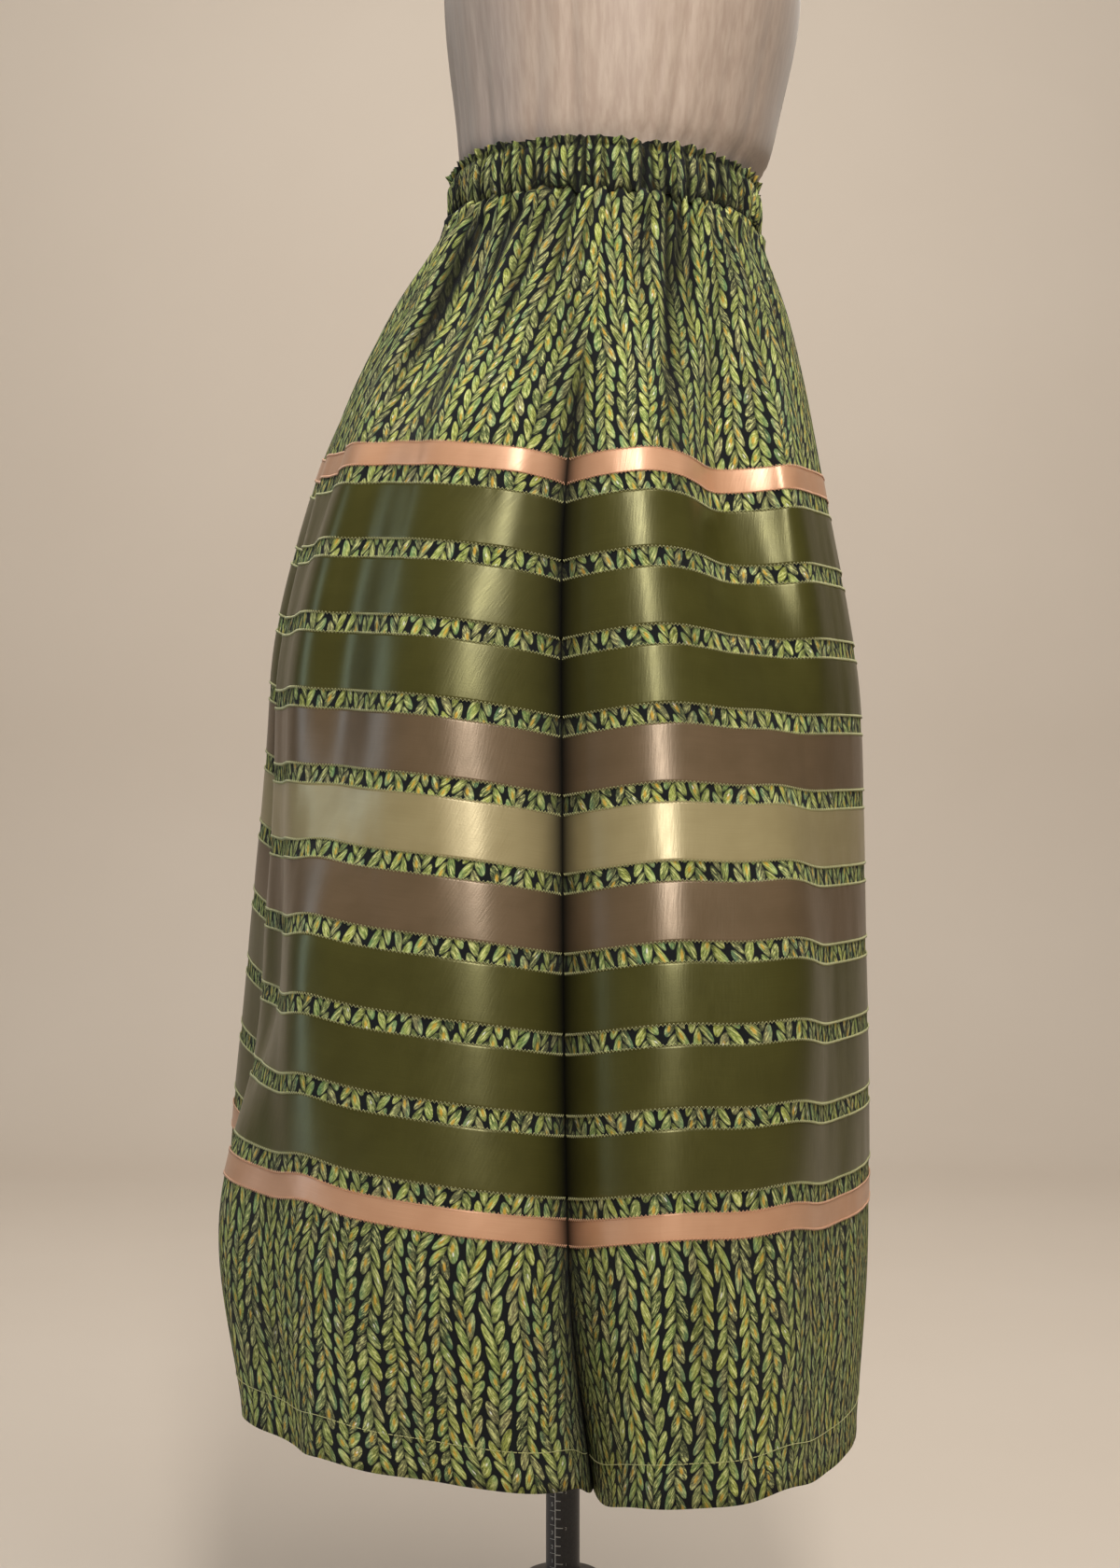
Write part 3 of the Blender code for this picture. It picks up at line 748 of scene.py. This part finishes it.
zigzag = {"Pitch": 0.0026, "Height": 0.0017, "Thread": 0.00029}
straight = {"Pitch": 0.0034, "Length": 0.0026, "Thread": 0.00028}
stitchLift = {"zigzag": 0.00085, "hem": 0.0003}
hemTurn = 0.0245  # from the hem up to its stitches


def newTree(name, sizes):
    tree = bpy.data.node_groups.new(name, "GeometryNodeTree")
    sockets = [("Geometry", "INPUT", "Geometry")] + [(size, "INPUT", "Float") for size in sizes]
    sockets += [("Material", "INPUT", "Material"), ("Geometry", "OUTPUT", "Geometry")]
    for socket, way, kind in sockets:
        tree.interface.new_socket(socket, in_out=way, socket_type="NodeSocket" + kind)
    given = tree.nodes.new("NodeGroupInput")
    result = tree.nodes.new("NodeGroupOutput")
    return tree, given.outputs, result.inputs


def endTree(tree, given, result, geometry):
    real = geometryNode(tree, "RealizeInstances", {0: geometry})
    inputs = {"Geometry": real.outputs[0], "Material": given["Material"]}
    coloured = geometryNode(tree, "SetMaterial", inputs)
    tree.links.new(coloured.outputs[0], result[0])


def spacedLine(tree, given, length):
    line = geometryNode(tree, "MeshToCurve", {0: given["Geometry"]}).outputs[0]
    spaced = geometryNode(tree, "ResampleCurve", {"Curve": line, "Length": length}, mode="LENGTH")
    return spaced.outputs[0]


def zigzagTree():
    tree, given, result = newTree("zigzag_stitch", zigzag)
    line = spacedLine(tree, given, calc(tree, "MULTIPLY", given["Pitch"], 0.5))
    index = geometryNode(tree, "InputIndex").outputs[0]
    swing = calc(tree, "SUBTRACT", calc(tree, "MODULO", index, 2.0), 0.5)
    inputs = {"Name": "sideways"}
    sideways = geometryNode(tree, "InputNamedAttribute", inputs, data_type="FLOAT_VECTOR").outputs[0]
    inputs = {0: sideways, "Scale": calc(tree, "MULTIPLY", swing, given["Height"])}
    offset = shaderNode(tree, "VectorMath", inputs, operation="SCALE").outputs[0]
    line = geometryNode(tree, "SetPosition", {"Geometry": line, "Offset": offset}).outputs[0]
    inputs = {"Resolution": 3, "Radius": given["Thread"]}
    profile = geometryNode(tree, "CurvePrimitiveCircle", inputs).outputs[0]
    inputs = {"Curve": line, "Profile Curve": profile, "Fill Caps": True}
    thread = geometryNode(tree, "CurveToMesh", inputs)
    endTree(tree, given, result, thread.outputs[0])
    return tree


def straightTree():
    tree, given, result = newTree("straight_stitch", straight)
    line = spacedLine(tree, given, given["Pitch"])
    inputs = {"Vertices": 5, "Radius": given["Thread"], "Depth": given["Length"]}
    stitch = geometryNode(tree, "MeshCylinder", inputs).outputs["Mesh"]
    tangent = geometryNode(tree, "InputTangent").outputs[0]
    turned = addNode(tree, "FunctionNodeAlignRotationToVector", {"Vector": tangent}, axis="Z").outputs[0]
    inputs = {"Points": line, "Instance": stitch, "Rotation": turned}
    copies = geometryNode(tree, "InstanceOnPoints", inputs)
    endTree(tree, given, result, copies.outputs[0])
    return tree


def stitched(name, tree, sizes, material, lines):
    # lines is a list of (points, sideways directions); the result is one plain mesh
    mesh = bpy.data.meshes.new(name)
    points = np.concatenate([line for line, _ in lines])
    edges, start = [], 0
    for line, _ in lines:
        edges += [(start + k, start + k + 1) for k in range(len(line) - 1)]
        start += len(line)
    mesh.from_pydata(points, edges, [])
    sideways = mesh.attributes.new("sideways", "FLOAT_VECTOR", "POINT")
    sideways.data.foreach_set("vector", np.concatenate([s for _, s in lines]).astype(np.float32).ravel())
    guide = addPiece(name + "_guide", mesh)
    modifier = guide.modifiers.new("stitch", "NODES")
    modifier.node_group = tree
    inputs = {item.name: item.identifier for item in tree.interface.items_tree if item.in_out == "INPUT"}
    for size, value in sizes.items():
        modifier[inputs[size]] = value
    modifier[inputs["Material"]] = material
    graph = bpy.context.evaluated_depsgraph_get()
    made = bpy.data.meshes.new_from_object(guide.evaluated_get(graph))
    bpy.data.objects.remove(guide)
    made.shade_smooth()
    piece = addPiece(name, made)
    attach(piece, "root")
    return piece


def stitchLine(cloth, down, lift, inset=3):
    # points along one row of the cloth, a little off it, and the direction down the cloth there
    rows = cloth["rows"]
    k = int(np.argmin(abs(rows - down)))
    low, high = max(k - 1, 0), min(k + 1, len(rows) - 1)
    sideways = cloth["grid"][high] - cloth["grid"][low]
    sideways = sideways / np.linalg.norm(sideways, axis=1, keepdims=True)
    points = cloth["grid"][k] + cloth["normals"][k] * lift
    return points[inset:-inset], sideways[inset:-inset]


print("panels and ribbons")
cloths = [makeCloth("front", -90, 90), makeCloth("back", 90, 270)]
zigzags = zigzagTree()
straights = straightTree()
bands = ribbonBands()
for cloth in cloths:
    side = cloth["side"]
    panel = makePanel(cloth)
    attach(panel, "root")
    for number, (colour, band) in enumerate(zip(ribbonColours, bands), start=1):
        makeRibbon(cloth, number, colour, band)
    for thread, wanted in (("khaki", lambda c: c != "peach"), ("peach", lambda c: c == "peach")):
        lines = [
            stitchLine(cloth, edge, stitchLift["zigzag"])
            for colour, band in zip(ribbonColours, bands) if wanted(colour) for edge in band
        ]
        material = materials[thread + "Thread"]
        stitched(f"{side}_{thread}_zigzag", zigzags, zigzag, material, lines)
    hemLine = [stitchLine(cloth, skirt["length"] - hemTurn, stitchLift["hem"])]
    khaki = materials["khakiThread"]
    hemStitch = stitched(f"{side}_hem_stitch", straights, straight, khaki, hemLine)


# Waistband

band = {
    "columns": 1100,
    "cloth": 0.0007,
    "cutLength": 1.016,
    "cutWidth": 0.040,
    "pleats": (0.0040, 0.0120),
    "valley": (0.0022, 0.0052),
    "ridge": (0.0004, 0.0016),
    "slant": 0.10,
    "header": 0.0270,
    "middle": 0.0135,
    "valleyWidth": 0.0021,
    "ridgeAway": 0.0028,
    "ridgeWidth": 0.0018,
    "sag": 6.5,  # how much more the lower edge waves than the upper one
}
bandRows = np.array((  # up, out, how much the pleats stand, how much the edge waves
    (0.0002, 0.0004, 0.6, 1.2),
    (0.0006, 0.0018, 1.0, 1.6),
    (0.0034, 0.0034, 1.15, 1.0),
    (0.0090, 0.0042, 1.0, 0.0),
    (0.0170, 0.0040, 1.0, 0.0),
    (0.0235, 0.0030, 0.9, 0.0),
    (0.0270, 0.0010, 0.6, 0.0),
    (0.0290, 0.0024, 1.2, 0.4),
    (0.0325, 0.0040, 1.9, 1.5),
))


def makeWaistband():
    random = np.random.default_rng(37)
    bearings = np.arange(band["columns"]) * 360 / band["columns"]
    waist = skirtGrid(bearings, [1e-6])[0]
    lengths = np.linalg.norm(np.roll(waist, -1, axis=0) - waist, axis=1)
    place = placesAlong(lengths)
    total = lengths.sum()
    edges = [0.0]
    while edges[-1] < total - band["pleats"][1]:
        edges.append(edges[-1] + random.uniform(*band["pleats"]))
    edges = np.array(edges)
    valleys = random.uniform(*band["valley"], len(edges))
    valleys = valleys * random.choice([0.45, 1.0, 1.0, 1.25], len(edges))
    ridges = random.uniform(*band["ridge"], len(edges))
    slants = random.uniform(-1, 1, len(edges)) * band["slant"]
    shares = np.linspace(0, len(bandRows) - 1, 34)
    outwards = waist - np.array([skirtSections[0, 1], 0, skirt["waistHeight"]])
    outwards[:, 2] = 0
    outwards /= np.linalg.norm(outwards, axis=1, keepdims=True)
    rings, paintedShades = [], []
    for share in shares[::-1]:
        numbers = np.arange(len(bandRows))
        up, out, stand, wave = (smoothBetween(numbers, column, share) for column in bandRows.T)
        relief = np.zeros(len(bearings))
        for edge, valley, ridge, slant in zip(edges, valleys, ridges, slants):
            away = (place - edge - slant * (up - band["middle"]) + total / 2) % total - total / 2
            relief -= valley * np.exp(-((away**2 + 0.0000001) ** 0.5) / band["valleyWidth"])
            relief += ridge * np.exp(-(((away - band["ridgeAway"]) / band["ridgeWidth"]) ** 2))
        # painted shade along the band's lower edge, at the header's stitch line and in the pleats' valleys
        foot = 0.75 * math.exp(-max(up - 0.0008, 0) / 0.0030)
        neck = 0.45 * math.exp(-(((up - band["header"]) / 0.0016) ** 2))
        paintedShades.append(limited(limited((-relief * stand - 0.0003) / 0.0024) + foot + neck))
        relief += 0.0006 * softNoise(place / 0.011, np.full(len(place), up / 0.012), 41)
        ruffle = softNoise(place / 0.0042, np.full(len(place), 0.5), 43)
        slow = softNoise(place / 0.012, np.full(len(place), 0.5), 44)
        edgeWave = wave * (0.0008 * ruffle + 0.0006 * slow)
        flare = 0.0011 * ruffle * max(0.0, stand - 0.9) * (up > band["header"])
        ring = waist + outwards * (out + stand * relief + flare)[:, None]
        ring[:, 2] += up + (edgeWave if up > band["header"] else -band["sag"] * abs(edgeWave))
        rings.append(ring)
    outer = np.array(rings)
    inner = outer - outwardNormals(outer, closed=True) * band["cloth"]
    steps = np.linalg.norm(np.roll(outer, -1, axis=1) - outer, axis=2).mean(axis=0)
    run = placesAlong(steps) / steps.sum() * band["cutLength"]
    down = np.concatenate([[0], np.cumsum(np.linalg.norm(np.diff(outer, axis=0), axis=2).mean(axis=1))])
    uv = np.stack(np.broadcast_arrays(run[None, :], down[:, None]), axis=2)
    uv = uv + np.array([0.0, 1.7])
    piece = shellPiece("waistband_casing", outer, inner, materials["print"], uv, True, np.array(paintedShades))
    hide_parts("waistband")
    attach(piece, "root")
    return piece


print("waistband")
makeWaistband()


# Dress form and stand

formSections = np.array((  # height, centre, half depth, half width
    (0.800, 0.006, 0.112, 0.130), (0.812, 0.006, 0.124, 0.140), (0.860, 0.007, 0.133, 0.146),
    (0.910, 0.010, 0.132, 0.144), (0.980, 0.016, 0.119, 0.133), (1.050, 0.026, 0.102, 0.123),
    (1.092, 0.031, 0.100, 0.123), (1.120, 0.033, 0.100, 0.125), (1.138, 0.036, 0.109, 0.130),
    (1.160, 0.038, 0.113, 0.134), (1.257, 0.042, 0.126, 0.146), (1.330, 0.036, 0.123, 0.152),
    (1.400, 0.022, 0.103, 0.156), (1.450, 0.010, 0.082, 0.150), (1.482, 0.004, 0.066, 0.108),
    (1.505, 0.004, 0.057, 0.070), (1.560, 0.010, 0.052, 0.054),
))
form = {
    "squareness": 2.10,
    "columns": 240,
    "rows": 170,
    "wrinkles": 46,
    "wrinkleDepth": 0.0016,
    "waist": 1.125,  # the cover is pinched here, and its wrinkles fade away from it
    "seams": (-163, 17),
    "seamSpan": 0.0021,  # metres round the form for one degree
    "seamWidth": 0.0011,
    "seamDepth": 0.0007,
    "sharpAngle": 45,
}


def makeForm():
    random = np.random.default_rng(53)
    bearings = np.arange(form["columns"]) * 360 / form["columns"]
    heights = np.linspace(formSections[-1, 0], formSections[0, 0], form["rows"])
    rings = []
    for height in heights:
        centre, halfDepth, halfWidth = (
            smoothBetween(formSections[:, 0], column, height) for column in formSections.T[1:]
        )
        x, y = superellipse(halfDepth, halfWidth, form["squareness"], bearings)
        rings.append(np.column_stack([centre + x, y, np.full(len(x), height)]))
    grid = np.array(rings)
    relief = np.zeros(grid.shape[:2])
    above = (heights - form["waist"])[:, None]
    for _ in range(form["wrinkles"]):
        middle, lean = random.uniform(0, 360), random.uniform(-40, 40)
        reach, width = random.uniform(0.03, 0.16), random.uniform(1.2, 3.2)
        away = degreesFrom(bearings[None, :] - middle, lean * above) / width
        fade = np.exp(-(abs(above) / reach) ** 1.5)
        relief -= form["wrinkleDepth"] * random.uniform(0.4, 1.0) * np.exp(-away * away) * fade
    for seam in form["seams"]:
        away = degreesFrom(bearings[None, :], seam) * form["seamSpan"] / form["seamWidth"]
        relief -= form["seamDepth"] * np.exp(-away * away)
    grid = grid + outwardNormals(grid, closed=True) * relief[:, :, None]
    ends = [[formSections[-1, 1], 0, heights[0]], [formSections[0, 1], 0, heights[-1]]]
    piece = cappedRings("form_cover", grid, ends, materials["cover"], form["sharpAngle"])
    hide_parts("form_torso")
    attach(piece, "root")


stand = {
    "poleRadius": 0.0120, "hubTop": 0.1400, "hubRadius": 0.0280, "hubFlare": 0.0630,
    "footRadius": 0.0460, "plateRadius": 0.2000, "plateTop": 0.0140, "plateRound": 0.0040,
    "plateStep": 0.0020, "capRadius": 0.0480, "capHeight": 0.0140, "capRound": 0.0030, "poleRound": 0.0010,
    "turnedSteps": 128, "sharpAngle": 35,
}


def roundedRim(radius, height, fillet, points=8):
    turns = np.linspace(0, math.pi / 2, points + 1)
    return [(radius - fillet + fillet * math.sin(t), height - fillet * (1 - math.cos(t))) for t in turns]


def turnedPiece(name, node, profile, material, centre=0.0):
    # profile of (radius, height) from the axis at the top to the axis at the bottom
    profile = np.array(profile)
    turns = np.arange(stand["turnedSteps"]) * 2 * math.pi / stand["turnedSteps"]
    inside = profile[1:-1]
    x = inside[:, 0][:, None] * np.cos(turns) + centre
    y = inside[:, 0][:, None] * np.sin(turns)
    z = np.broadcast_to(inside[:, 1][:, None], x.shape)
    ends = [[centre, 0, profile[0, 1]], [centre, 0, profile[-1, 1]]]
    piece = cappedRings(name, np.stack([x, y, z], axis=2), ends, material, stand["sharpAngle"])
    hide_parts(node)
    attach(piece, "root")
    return piece


def makeStand():
    s = stand
    hips = formSections[0, 0]
    gap = skirt["seamGap"]
    pole = [(0, hips - gap)] + roundedRim(s["poleRadius"], hips - gap, s["poleRound"])
    pole += [(s["poleRadius"], s["hubTop"] + gap), (0, s["hubTop"] + gap)]
    turnedPiece("pole_tube", "pole", pole, materials["paint"])
    base = [(0, s["hubTop"])] + roundedRim(s["hubRadius"], s["hubTop"], s["plateRound"])
    for turn in np.linspace(0, math.pi / 2, 13):
        radius = s["footRadius"] - (s["footRadius"] - s["hubRadius"]) * math.cos(turn)
        base.append((radius, s["hubFlare"] - (s["hubFlare"] - s["plateTop"]) * math.sin(turn)))
    base += roundedRim(s["plateRadius"], s["plateTop"] - s["plateStep"], s["plateRound"])
    base += [(s["plateRadius"], 0), (0, 0)]
    turnedPiece("base_casting", "stand_base", base, materials["paint"])
    foot = formSections[-1, 0] + gap
    cap = [(0, foot + s["capHeight"])] + roundedRim(s["capRadius"], foot + s["capHeight"], s["capRound"])
    cap += [(s["capRadius"], foot), (0, foot)]
    turnedPiece("neck_cap_disc", "neck_cap", cap, materials["cap"], formSections[-1, 1])


scaleMarks = {
    "line": -0.0056, "lineWidth": 0.0007, "tick": 0.0040, "tickEvery": 0.00635, "tickWidth": 0.0006,
    "numberEvery": 0.0100, "numberSize": 0.0040, "inchSize": 0.0028,
    "low": 0.146, "high": 0.790, "proud": 0.00006, "longTick": 1.4, "inchGap": 0.0022,
    "rung": 0.0046, "rungTop": 0.0043, "numberAway": 0.0026,
}


def makeScale():
    m = scaleMarks
    points, faces = [], []

    def strip(left, right, low, high):
        start = len(points)
        count = max(2, math.ceil((right - left) / 0.001) + 1)
        for height in (low, high):
            points.extend((x, height) for x in np.linspace(left, right, count))
        for k in range(start, start + count - 1):
            faces.append((k, k + 1, count + k + 1, count + k))

    def number(text, x, height, size):
        curve = bpy.data.curves.new("digits", "FONT")
        curve.body, curve.size, curve.align_x, curve.align_y = text, size, "CENTER", "CENTER"
        curve.resolution_u = 2
        digits = addPiece("digits", curve)
        mesh = bpy.data.meshes.new_from_object(digits.evaluated_get(bpy.context.evaluated_depsgraph_get()))
        start = len(points)
        points.extend((x + v.co.x, height + v.co.y) for v in mesh.vertices)
        faces.extend(tuple(start + v for v in polygon.vertices) for polygon in mesh.polygons)
        bpy.data.objects.remove(digits)

    strip(m["line"] - m["lineWidth"] / 2, m["line"] + m["lineWidth"] / 2, m["low"], m["high"])
    for k in range(int((m["high"] - m["low"]) / m["tickEvery"])):
        height = m["low"] + (k + 0.5) * m["tickEvery"]
        long = m["longTick"] if k % 4 == 0 else 1.0
        strip(m["line"], m["line"] + m["tick"] * long, height, height + m["tickWidth"])
        if k % 4 == 0:
            x = m["line"] + m["tick"] * m["longTick"] + m["inchGap"]
            number(str(k // 4 + 1), x, height, m["inchSize"])
    for k in range(int((m["high"] - m["low"]) / m["numberEvery"])):
        height = m["low"] + (k + 0.5) * m["numberEvery"]
        strip(m["line"] - m["rung"], m["line"], height - m["rung"], height - m["rungTop"])
        number(str(k + 1), m["line"] - m["numberAway"], height, m["numberSize"])
    radius = stand["poleRadius"] + m["proud"]
    wrapped = [(radius * math.sin(x / radius), -radius * math.cos(x / radius), z) for x, z in points]
    mesh = bpy.data.meshes.new("pole_scale")
    mesh.from_pydata(wrapped, [], faces)
    mesh.materials.append(materials["marks"])
    piece = addPiece("pole_scale", mesh)
    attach(piece, "root")


print("dress form and stand")
makeForm()
makeStand()
makeScale()


# Camera, lights and stage

view = {"place": (-0.002, -1.70, 0.70), "lens": 54.94}
camera = bpy.data.objects.new("camera", bpy.data.cameras.new("camera"))
scene.collection.objects.link(camera)
camera.location = view["place"]
camera.rotation_euler = (math.pi / 2, 0, 0)
camera.data.lens = view["lens"]
camera.data.sensor_width = 36
scene.camera = camera

lamps = (  # name, place, aimed at, width, height, power, colour
    ("key", (0.18, -2.10, 2.10), (0, 0, 1.35), 0.27, 1.10, 46, (1.0, 0.96, 0.90)),
    ("window", (-2.50, -0.05, 0.95), (0, 0, 0.70), 0.9, 2.0, 11, (0.55, 0.76, 1.0)),
    ("top", (0.4, -0.9, 3.0), (0, 0, 1.5), 1.2, 1.2, 36, (1.0, 0.95, 0.88)),
    ("wall", (0.0, 0.9, 2.9), (0, 2.9, 0.7), 2.4, 1.2, 56, (1.0, 0.95, 0.89)),
)


def addLamp(name, place, target, width, height, power, colour):
    light = bpy.data.lights.new(name, "AREA")
    light.shape, light.size, light.size_y = "RECTANGLE", width, height
    light.energy, light.color = power, colour
    lamp = bpy.data.objects.new(name, light)
    scene.collection.objects.link(lamp)
    lamp.location = place
    aim = np.array(target) - np.array(place)
    lamp.rotation_euler = (
        math.acos(-aim[2] / np.linalg.norm(aim)), 0, math.atan2(aim[1], aim[0]) - math.pi / 2
    )


sweep = {"front": -3.4, "floorEnd": 2.6, "corner": 0.8, "top": 4.6, "halfWidth": 4.5, "below": 0.0006}


def makeStage():
    # a pale floor that curves up into a backdrop
    corner, floorEnd = sweep["corner"], sweep["floorEnd"]
    profile = [(sweep["front"], 0.0)]
    for turn in np.linspace(0, math.pi / 2, 16):
        profile.append((floorEnd + corner * math.sin(turn), corner * (1 - math.cos(turn))))
    profile.append((floorEnd + corner, sweep["top"]))
    mesh = bpy.data.meshes.new("stage_sweep")
    half = sweep["halfWidth"]
    points = [(x, y, z - sweep["below"]) for y, z in profile for x in (-half, half)]
    faces = [(k, k + 1, k + 3, k + 2) for k in range(0, 2 * len(profile) - 2, 2)]
    mesh.from_pydata(points, [], faces)
    mesh.shade_smooth()
    material, tree, shader = newMaterial("pale_stage", Roughness=0.9)
    coordinates = ownPlace(tree)
    cloud = noise(tree, coordinates, 2.0, 3.0)["Fac"]
    colour = mixed(tree, cloud, linear(203, 191, 177), linear(209, 198, 185))
    feed(tree, shader, Base_Color=colour)
    mesh.materials.append(material)
    stage = addPiece("stage_sweep", mesh)


for lamp in lamps:
    addLamp(*lamp)
makeStage()
world = bpy.data.worlds.new("soft_room")
scene.world = world
world.use_nodes = True
background = world.node_tree.nodes["Background"]
background.inputs[0].default_value = (1.0, 0.93, 0.84, 1.0)
background.inputs[1].default_value = 0.07
scene.view_settings.view_transform = "Standard"

print("finished")
